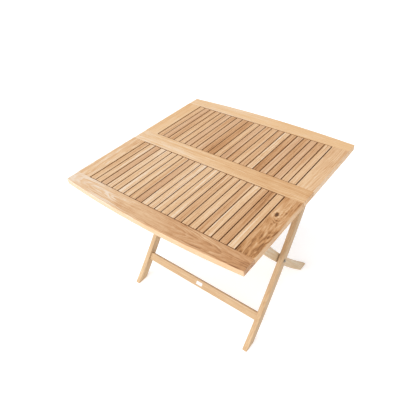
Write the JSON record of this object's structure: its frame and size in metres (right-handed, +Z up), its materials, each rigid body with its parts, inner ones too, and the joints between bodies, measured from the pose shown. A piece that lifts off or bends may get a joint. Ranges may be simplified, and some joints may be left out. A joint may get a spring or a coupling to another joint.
{
  "type": "folding slatted garden table",
  "caption": "Square folding teak garden table: framed slatted top with bowed edges on two crossing leg frames, hinged to fold flat.",
  "frame": {"origin": "on the ground, under the middle of the top", "axes": "+Z up; +X along the near edge of the top, towards its right; +Y from the near edge to the far edge, the edge beside the hinge"},
  "size_m": [0.9, 0.8998, 0.75],
  "materials": {
    "teak": "oiled satin",
    "teak_slats": "oiled satin",
    "teak_legs": "oiled satin",
    "steel": "brushed",
    "label": "matt"
  },
  "bodies": {
    "outer_frame": {"outer_left_leg": "teak_legs", "outer_right_leg": "teak_legs", "outer_stretcher": "teak_legs", "blank_label": "label", "left_crossing_bolt": "steel", "right_crossing_bolt": "steel", "crossing_nuts": "steel", "crossing_washers": "steel", "left_hinge_bolt": "steel", "right_hinge_bolt": "steel", "hinge_nuts": "steel", "hinge_washers": "steel"},
    "inner_frame": {"inner_left_leg": "teak_legs", "inner_right_leg": "teak_legs", "inner_stretcher": "teak_legs", "inner_bar": "teak_legs"},
    "top": {"near_rail": "teak", "mid_rail": "teak", "far_rail": "teak", "near_left_stile": "teak", "near_right_stile": "teak", "far_left_stile": "teak", "far_right_stile": "teak", "slats_01": "teak_slats", "slats_02": "teak_slats", "slats_03": "teak_slats", "slats_04": "teak_slats", "slats_05": "teak_slats", "slats_06": "teak_slats", "slats_07": "teak_slats", "slats_08": "teak_slats", "slats_09": "teak_slats", "slats_10": "teak_slats", "slats_11": "teak_slats", "slats_12": "teak_slats", "slats_13": "teak_slats", "slats_14": "teak_slats", "slats_15": "teak_slats", "slats_16": "teak_slats", "slats_17": "teak_slats", "slats_18": "teak_slats", "slats_19": "teak_slats", "slats_20": "teak_slats", "slats_21": "teak_slats", "slats_22": "teak_slats", "near_outer_batten": "teak", "near_inner_batten": "teak", "far_inner_batten": "teak", "far_outer_batten": "teak", "left_cleat": "teak", "right_cleat": "teak", "slat_screws": "steel", "cleat_screws": "steel", "joint_pegs": "teak"}
  },
  "joints": [
    {"name": "top_tilt", "type": "hinge", "parent": "outer_frame", "child": "top", "pos_m": [0, 0.24, 0.699], "axis": [-1, 0, 0], "range_deg": [0, 120]},
    {"name": "leg_scissor", "type": "hinge", "parent": "outer_frame", "child": "inner_frame", "pos_m": [0, 0, 0.341], "axis": [-1, 0, 0], "range_deg": [0, 60]}
  ],
  "couplings": [
    {"joint": "leg_scissor", "follows": "top_tilt", "ratio": 0.5}
  ]
}
